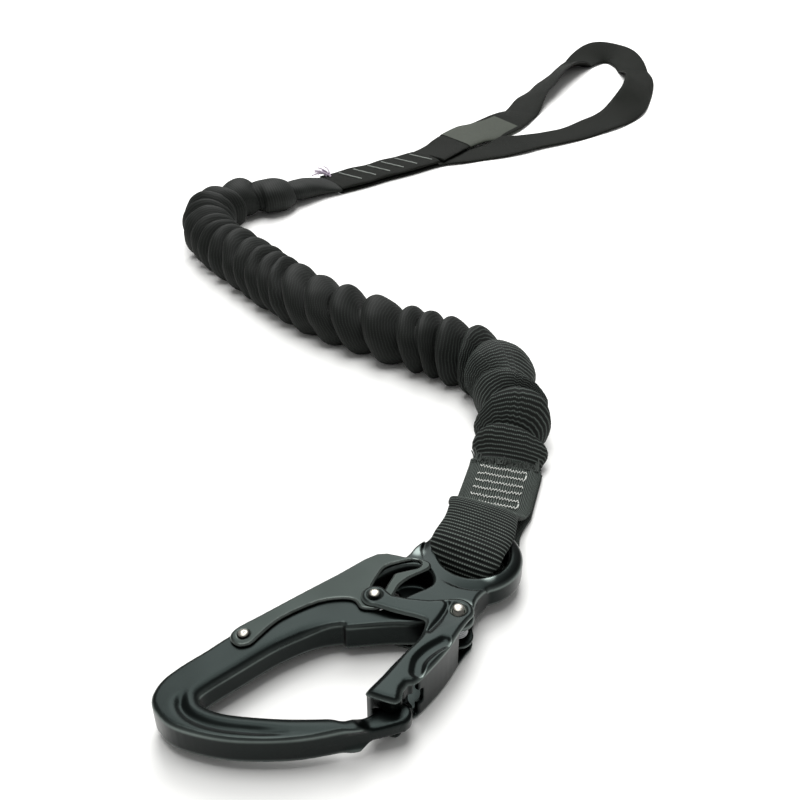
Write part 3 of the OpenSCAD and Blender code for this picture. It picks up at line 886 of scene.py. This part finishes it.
gate_rivet = turned_part("gate_rivet", GATE_PIVOT, rivet_outline(1.75, 2.8, 0.0, 1.85, 16.83, 0.6))
pin = turned_part("guide_rivet", PIN_AT, rivet_outline(1.6, 1.8, 0.0, 1.75, 16.8, 0.55))
lever_rivet = turned_part("lever_rivet", LEVER_PIVOT, rivet_outline(1.5, 2.6, 0.2, 1.7, 15.2, 0.6))

WIRE, COIL_R, TURNS = 0.45, 2.9, 5
COIL_RISE = 0.9  # mm to a turn
COIL_STEPS = TURNS * 28
bm = bmesh.new()
ring = bmesh.ops.create_circle(bm, segments=12, radius=WIRE * MM)["verts"]
bmesh.ops.rotate(bm, verts=ring, cent=(0, 0, 0), matrix=Matrix.Rotation(math.pi / 2, 3, "X"))
bmesh.ops.translate(bm, verts=ring, vec=(COIL_R * MM, 0, (MID_Z - COIL_RISE * TURNS / 2) * MM))
ring_edges = list({e for v in ring for e in v.link_edges})
bmesh.ops.spin(bm, geom=ring + ring_edges, cent=(0, 0, 0), axis=(0, 0, 1),
               angle=2 * math.pi * TURNS, dvec=(0, 0, COIL_RISE * TURNS * MM / COIL_STEPS),
               steps=COIL_STEPS)
bmesh.ops.remove_doubles(bm, verts=bm.verts, dist=WELD)
bmesh.ops.holes_fill(bm, edges=[e for e in bm.edges if e.is_boundary], sides=0)
bmesh.ops.recalc_face_normals(bm, faces=bm.faces)
bmesh.ops.translate(bm, verts=bm.verts, vec=place([GATE_PIVOT])[0])
spring = new_piece(bm, "gate_coil_spring")
print("coil turns:", TURNS, "faces:", len(spring.data.polygons))

# %% [markdown]
# ## Finishes
#
# Colours are sRGB hex values that one function turns to linear. One small function adds a node
# with its settings and links. Patterns on cloth read the piece's own UV map, in metres, and
# patterns on metal read Object coordinates.

# %% Colour and node helpers


def colour(code):
    """An sRGB hex value as linear red, green, blue and full alpha."""
    parts = [int(code[i:i + 2], 16) / 255 for i in (1, 3, 5)]
    linear = [c / 12.92 if c <= 0.04045 else ((c + 0.055) / 1.055) ** 2.4 for c in parts]
    return (*linear, 1.0)


def finish(name, base, **sockets):
    """A new material with constant values set directly on its shader's sockets."""
    material = bpy.data.materials.new(name)
    material.use_nodes = True
    shader = material.node_tree.nodes["Principled BSDF"]
    shader.inputs["Base Color"].default_value = colour(base)
    for key, value in sockets.items():
        shader.inputs[key.replace("_", " ")].default_value = value
    return material.node_tree, shader, material


def add(tree, kind, settings=None, **links):
    """Adds a node. Settings are its properties; a link's value is a socket or a constant."""
    node = tree.nodes.new(kind)
    for key, value in (settings or {}).items():
        setattr(node, key, value)
    for key, value in links.items():
        where = int(key[1:]) if key[1:].isdigit() else key.replace("_", " ")
        if isinstance(value, bpy.types.NodeSocket):
            tree.links.new(value, node.inputs[where])
        else:
            node.inputs[where].default_value = value
    return node


# %% [markdown]
# ## Black hard-anodised aluminium
#
# Forged aluminium is tumbled, etched satin and dyed black in its oxide. That gives a dark metal
# with a broad soft highlight, slightly greenish, a fine grain of a third of a millimetre, and paler
# edges, partly worn and partly a painted highlight along each edge. Its gloss drifts a little from
# place to place, as handled metal's does.

# %% Anodised aluminium
DRIFT_MM = 22


def anodised(name, base, wear_and_painted_highlight, roughness, grain_mm):
    tree, shader, material = finish(name, base, Metallic=0.94, Roughness=roughness)
    where = add(tree, "ShaderNodeTexCoord").outputs["Object"]
    grain = add(tree, "ShaderNodeTexNoise", None, Vector=where, Scale=1 / (grain_mm * MM),
                Detail=3.0)
    cloud = add(tree, "ShaderNodeTexNoise", None, Vector=where, Scale=1 / (DRIFT_MM * MM),
                Detail=2.0)
    edge = add(tree, "ShaderNodeAttribute", {"attribute_name": "edge_wear_and_painted_highlight"})
    # Paler edges, patchy by the cloud: partly wear, partly a painted edge highlight.
    patchy_edge_wear_and_highlight = add(tree, "ShaderNodeMath", {"operation": "MULTIPLY"}, _0=edge.outputs["Fac"],
              _1=cloud.outputs["Fac"])
    tint = add(tree, "ShaderNodeMix", {"data_type": "RGBA"}, _0=patchy_edge_wear_and_highlight.outputs[0],
               _6=colour(base), _7=colour(wear_and_painted_highlight))
    tree.links.new(tint.outputs[2], shader.inputs["Base Color"])
    rough = add(tree, "ShaderNodeMapRange", None, Value=cloud.outputs["Fac"], From_Min=0.3,
                From_Max=0.7, To_Min=roughness - 0.05, To_Max=roughness + 0.06)
    tree.links.new(rough.outputs[0], shader.inputs["Roughness"])
    bump = add(tree, "ShaderNodeBump", None, Strength=0.08, Distance=0.0001,
               Height=grain.outputs["Fac"])
    tree.links.new(bump.outputs[0], shader.inputs["Normal"])
    return material


# The second colour is the pale edge: worn metal and a painted highlight.
anodised_body = anodised("forged_black_anodised_aluminium", "#171c1b", "#8b9692", 0.29, 0.35)
anodised_gate = anodised("cast_black_anodised_aluminium", "#191e1d", "#9aa6a1", 0.27, 0.35)
anodised_lever = anodised("stamped_black_anodised_aluminium", "#1e2321", "#aab4ae", 0.30, 0.3)

# %% [markdown]
# ## Stainless rivets and spring steel
#
# Turned stainless that has been in use is a mid grey, with a fairly tight highlight and faint marks
# of the setting tool. Drawn spring wire is much the same, a little bluer.

# %% Steel
MARKS_MM = 0.6


def steel(name, base, roughness):
    tree, shader, material = finish(name, base, Metallic=1.0, Roughness=roughness)
    where = add(tree, "ShaderNodeTexCoord").outputs["Object"]
    marks = add(tree, "ShaderNodeTexNoise", None, Vector=where, Scale=1 / (MARKS_MM * MM),
                Detail=2.0)
    rough = add(tree, "ShaderNodeMapRange", None, Value=marks.outputs["Fac"],
                To_Min=roughness - 0.06, To_Max=roughness + 0.12)
    bump = add(tree, "ShaderNodeBump", None, Strength=0.12, Distance=0.0001,
               Height=marks.outputs["Fac"])
    tree.links.new(rough.outputs[0], shader.inputs["Roughness"])
    tree.links.new(bump.outputs[0], shader.inputs["Normal"])
    return material


stainless = steel("turned_stainless_steel", "#8d8b84", 0.32)
spring_steel = steel("drawn_spring_steel", "#9a9c9e", 0.3)

# %% [markdown]
# ## Woven nylon webbing
#
# The webbing is woven with thick weft ribs across it, one every millimetre and a half. The light
# on each rib's crest is painted on as a row of pale dots, one for each warp thread that crosses it,
# with dark cloth between. Away from the roll the rib and its painted highlight are weak, and the
# fine slanting weave shows. Nylon is matt, with little gloss. The ribs themselves are geometry, and
# the thread dots are painted highlight and bump. The weave's slant is drawn at 1.2 mm, coarser than
# the real one, which is too fine to show.

# %% Webbing
SLANT_MM, PATCHY_TONE_MM = 1.2, 9


def webbing(name, dark, crest_highlight, thread_mm=0.7, fine_share=1.0, gloss=0.1):
    tree, shader, material = finish(name, dark, Roughness=0.68, Specular_IOR_Level=gloss)

    def maths(operation, a, b=0.0, c=0.0):
        return add(tree, "ShaderNodeMath", {"operation": operation}, _0=a, _1=b, _2=c).outputs[0]

    cloth = add(tree, "ShaderNodeUVMap", {"uv_map": "weave"}).outputs[0]
    axes = add(tree, "ShaderNodeSeparateXYZ", None, _0=cloth)
    along, across = axes.outputs[0], axes.outputs[1]
    rib_highlight_share = add(tree, "ShaderNodeAttribute", {"attribute_name": "rib_highlight_share"}).outputs["Fac"]
    turn = 2 * math.pi
    rib = maths("COSINE", maths("MULTIPLY", along, turn / (RIB_PITCH * MM)))
    rib = maths("MULTIPLY_ADD", rib, 0.5, 0.5)
    row = maths("MULTIPLY", maths("ROUND", maths("MULTIPLY", along, 1 / (RIB_PITCH * MM))), math.pi)
    dot = maths("SINE", maths("ADD", maths("MULTIPLY", across, turn / (thread_mm * MM)), row))
    dot = maths("MULTIPLY_ADD", dot, 0.5, 0.5)
    # Painted highlight: the rib crests are painted pale, in dots, where light would catch them.
    crest = maths("MULTIPLY", maths("POWER", rib, 4.0), maths("MULTIPLY_ADD", dot, 0.8, 0.2))
    slant = maths("ADD", along, across)
    lean = maths("SUBTRACT", along, across)
    fine = maths("MULTIPLY", *(maths("SINE", maths("MULTIPLY", way, turn / (SLANT_MM * MM)))
                               for way in (slant, lean)))
    fine = maths("MULTIPLY", maths("MAXIMUM", fine, 0.0), fine_share)
    pattern = add(tree, "ShaderNodeMix", {"data_type": "FLOAT"}, _0=rib_highlight_share, _2=fine,
                  _3=crest).outputs[0]
    where = add(tree, "ShaderNodeTexCoord").outputs["Object"]
    patchy_tone = add(tree, "ShaderNodeTexNoise", None, Vector=where, Scale=1 / (PATCHY_TONE_MM * MM),
               Detail=3.0)
    shade = maths("MULTIPLY", pattern, maths("MULTIPLY_ADD", patchy_tone.outputs["Fac"], 0.9, 0.5))
    tint = add(tree, "ShaderNodeMix", {"data_type": "RGBA"}, _0=shade, _6=colour(dark),
               _7=colour(crest_highlight))
    tree.links.new(tint.outputs[2], shader.inputs["Base Color"])
    bump = add(tree, "ShaderNodeBump", None, Strength=0.7, Distance=0.0003, Height=pattern)
    tree.links.new(bump.outputs[0], shader.inputs["Normal"])
    return material


# The pale colour is the painted rib-crest highlight: strongest on the strap at the eye, weakest on
# the far loop.
ribbed_webbing = webbing("ribbed_black_nylon_webbing", "#0c0f0d", "#757e78", 0.7, 2.2)
sheath_webbing = webbing("gathered_black_nylon_webbing", "#0b0e0b", "#626c66", 0.7, 0.0, 0.22)
loop_webbing = webbing("flat_black_nylon_webbing", "#0a0c09", "#22261f", 1.4)

# %% [markdown]
# ## Thread, label and elastic
#
# Bonded polyester thread is bright and slightly glossy, the loose tail is dusty and lilac, and the
# blank label is a plain grey-green weave. The elastic is dark rubber in a knitted cover.

# %% Thread, label and elastic


def fibre(name, base, other, grain_mm, roughness=0.6, sheen=0.2):
    tree, shader, material = finish(name, base, Roughness=roughness, Sheen_Weight=sheen)
    where = add(tree, "ShaderNodeTexCoord").outputs["Object"]
    fuzz = add(tree, "ShaderNodeTexNoise", None, Vector=where, Scale=1 / (grain_mm * MM),
               Detail=3.0)
    tint = add(tree, "ShaderNodeMix", {"data_type": "RGBA"}, _0=fuzz.outputs["Fac"],
               _6=colour(base), _7=colour(other))
    bump = add(tree, "ShaderNodeBump", None, Strength=0.4, Distance=0.0002,
               Height=fuzz.outputs["Fac"])
    tree.links.new(tint.outputs[2], shader.inputs["Base Color"])
    tree.links.new(bump.outputs[0], shader.inputs["Normal"])
    return material


white_thread = fibre("bonded_white_polyester_thread", "#f4f4ee", "#b9beb8", 0.5)
grey_thread = fibre("worn_grey_polyester_thread", "#9aa09a", "#4a504a", 3.0)
frayed_thread = fibre("frayed_black_nylon_yarn", "#121512", "#3c433e", 1.2, 0.8, 0.0)
lilac_thread = fibre("dusty_lilac_thread", "#d9d3e2", "#8d6f86", 1.2)
label_cloth = fibre("plain_woven_grey_label", "#3a4035", "#262a23", 1.5, 0.8, 0.0)
core_rubber = fibre("covered_latex_elastic", "#1b1c1d", "#3a3c3d", 1.0, 0.8)


def dress(piece, material):
    piece.data.materials.clear()
    piece.data.materials.append(material)


for piece, material in [
        (sheath, sheath_webbing), (end_loop, loop_webbing), (label, label_cloth),
        (eye_strap, ribbed_webbing), (bar_tacks, white_thread), (fringe, frayed_thread),
        (lap_lower, loop_webbing), (lap_upper, loop_webbing), (far_tacks, grey_thread),
        (loose_tail, lilac_thread), (elastic, core_rubber), (body, anodised_body),
        (gate, anodised_gate), (lever, anodised_lever), (gate_rivet, stainless), (pin, stainless),
        (lever_rivet, stainless), (spring, spring_steel)]:
    dress(piece, material)
for s in NODES["lever_spring"].material_slots:
    s.material = spring_steel

# %% [markdown]
# ## Riding on the frame
#
# Every piece but the sheath and its elastic rides on a body of the frame, and each says which CAD
# nodes it stands for, which are hidden. The sheath and its elastic cross the stretch joint; they
# ride on no body, and the CAD nodes they stand for are hidden too.

# %% Ride and replace
for piece, body_name, nodes, slot in [
        (body, "hook", ["hook_body"], "black_anodised_aluminium"),
        (gate_rivet, "hook", ["gate_pivot_rivet"], "stainless_rivet"),
        (lever_rivet, "hook", ["lever_pivot_rivet"], "stainless_rivet"),
        (spring, "hook", ["gate_spring"], "spring_steel"),
        (gate, "gate", ["gate"], "black_anodised_aluminium_gate"),
        (pin, "gate", ["guide_pin"], "stainless_rivet"),
        (lever, "lever", ["lever"], "black_anodised_aluminium_lever"),
        (eye_strap, "near_webbing", ["eye_loop", "eye_tail", "hook_end_lap"],
         "black_nylon_webbing"),
        (bar_tacks, "near_webbing", ["eye_bar_tacks"], "white_bar_tack_thread"),
        (fringe, "near_webbing", [], "black_nylon_webbing"),
        (lap_lower, "far_webbing", ["far_lap_lower"], "black_nylon_webbing"),
        (lap_upper, "far_webbing", ["far_lap_upper"], "black_nylon_webbing"),
        (far_tacks, "far_webbing", ["far_bar_tacks"], "grey_bar_tack_thread"),
        (loose_tail, "far_webbing", ["thread_tail"], "loose_thread"),
        (end_loop, "far_webbing", ["end_loop"], "black_nylon_webbing"),
        (label, "far_webbing", ["id_label"], "woven_label")]:
    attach(piece, body_name)
    if nodes:
        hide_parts(*nodes)

for piece, node, slot in [(sheath, "shock_sheath", "gathered_nylon_sheath"),
                          (elastic, "elastic_core", "elastic_rubber")]:
    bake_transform(piece)
    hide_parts(node)

# %% [markdown]
# ## Floor and light
#
# A pale floor and broad soft lights, as in a product studio. The softbox stands behind, so that the
# hook's upper faces reflect it towards the camera. The floor isn't part of the object.

# %% Floor and light
FLOOR_HALF = 6  # metres
WORLD_STRENGTH = 0.33
bm = bmesh.new()
bmesh.ops.create_grid(bm, x_segments=1, y_segments=1, size=FLOOR_HALF)
floor = new_piece(bm, "studio_floor")
dress(floor, finish("matt_white_floor", "#f6f6f4", Roughness=0.9)[-1])

world = bpy.data.worlds.new("studio")
bpy.context.scene.world = world
world.use_nodes = True
background = world.node_tree.nodes["Background"]
background.inputs["Color"].default_value = (1, 1, 1, 1)
background.inputs["Strength"].default_value = WORLD_STRENGTH


def soft_light(name, where, towards, size, watts):
    """A round soft lamp, sized in metres."""
    data = bpy.data.lights.new(name, "AREA")
    data.shape = "DISK"
    data.size = size
    data.energy = watts
    lamp = linked(name, data)
    lamp.location = where
    lamp.rotation_mode = "QUATERNION"
    lamp.rotation_quaternion = (Vector(towards) - Vector(where)).to_track_quat("-Z", "Y")


soft_light("back_softbox", (0.69, 1.12, 1.36), (0.0, 0.02, 0), 1.3, 29)
soft_light("overhead", (0.0, 0.3, 1.7), (0.05, 0.2, 0), 1.2, 20)
bpy.context.scene.view_settings.view_transform = "Standard"
